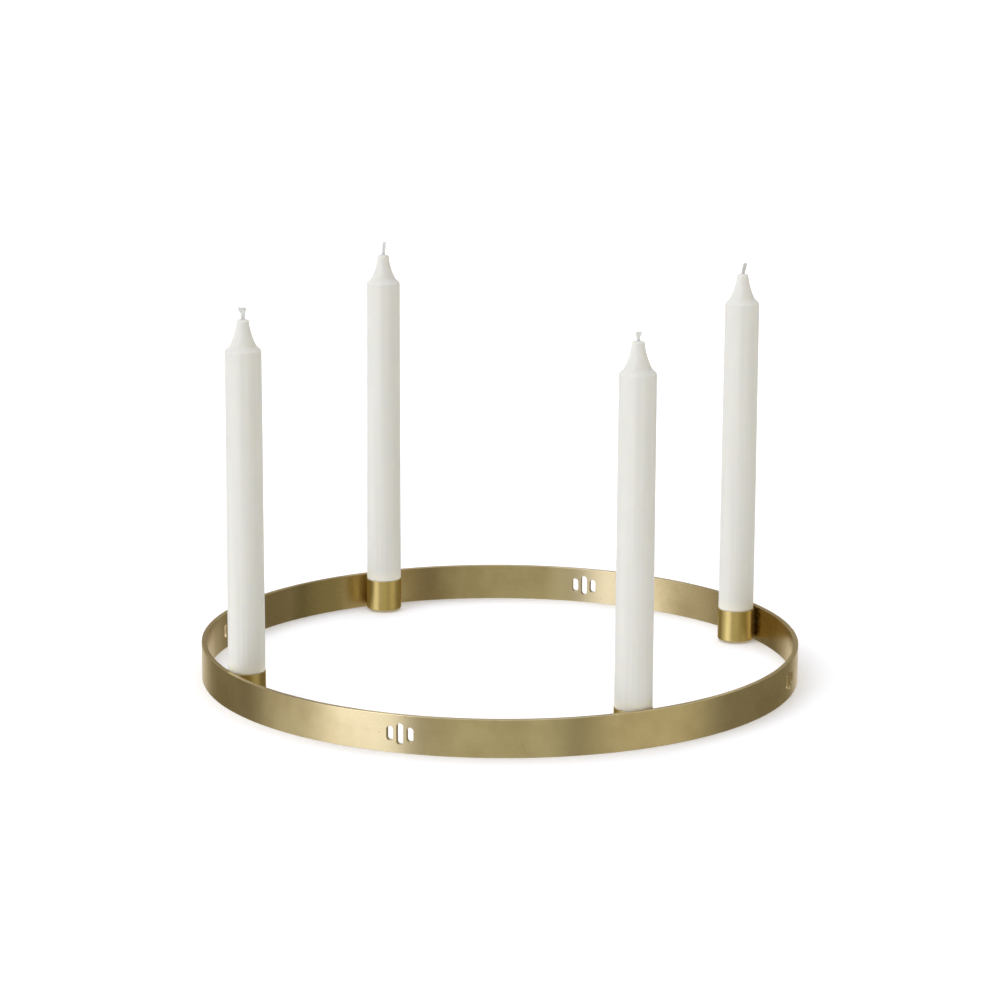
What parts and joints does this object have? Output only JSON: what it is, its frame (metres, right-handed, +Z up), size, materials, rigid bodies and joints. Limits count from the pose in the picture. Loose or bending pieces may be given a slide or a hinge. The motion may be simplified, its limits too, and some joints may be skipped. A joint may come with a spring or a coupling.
{
  "type": "advent candle ring",
  "caption": "Flat brass band rolled into a ring that stands on edge, with brazed candle cups inside it and tall white crown candles that lift out of the cups.",
  "frame": {"origin": "centre of the ring on the table, at the level of the band's lower edge", "axes": "+Z is up along the candles; +X points from the centre to the first candle, +Y to the second"},
  "size_m": [0.3599, 0.36, 0.2404],
  "materials": {
    "brass_band": "brushed along the band, satin, lightly aged",
    "brass_cup": "turned, satin",
    "braze_filler": "dull cast filler",
    "candle_wax": "smooth wax, slightly translucent, soft gloss",
    "wick_cotton": "braided cotton, waxed"
  },
  "bodies": {
    "holder": {"ring": "brass_band", "candle_cup_1": "brass_cup", "candle_cup_2": "brass_cup", "candle_cup_3": "brass_cup", "candle_cup_4": "brass_cup", "braze_joint_1": "braze_filler", "braze_joint_2": "braze_filler", "braze_joint_3": "braze_filler", "braze_joint_4": "braze_filler"},
    "candle_1": {"candle_wax_1": "candle_wax", "candle_wick_1": "wick_cotton"},
    "candle_2": {"candle_wax_2": "candle_wax", "candle_wick_2": "wick_cotton"},
    "candle_3": {"candle_wax_3": "candle_wax", "candle_wick_3": "wick_cotton"},
    "candle_4": {"candle_wax_4": "candle_wax", "candle_wick_4": "wick_cotton"}
  },
  "joints": [
    {"name": "candle_1_lift", "type": "slide", "parent": "holder", "child": "candle_1", "axis": [0, 0, 1], "range_m": [0, 0.04]},
    {"name": "candle_2_lift", "type": "slide", "parent": "holder", "child": "candle_2", "axis": [0, 0, 1], "range_m": [0, 0.04]},
    {"name": "candle_3_lift", "type": "slide", "parent": "holder", "child": "candle_3", "axis": [0, 0, 1], "range_m": [0, 0.04]},
    {"name": "candle_4_lift", "type": "slide", "parent": "holder", "child": "candle_4", "axis": [0, 0, 1], "range_m": [0, 0.04]}
  ]
}
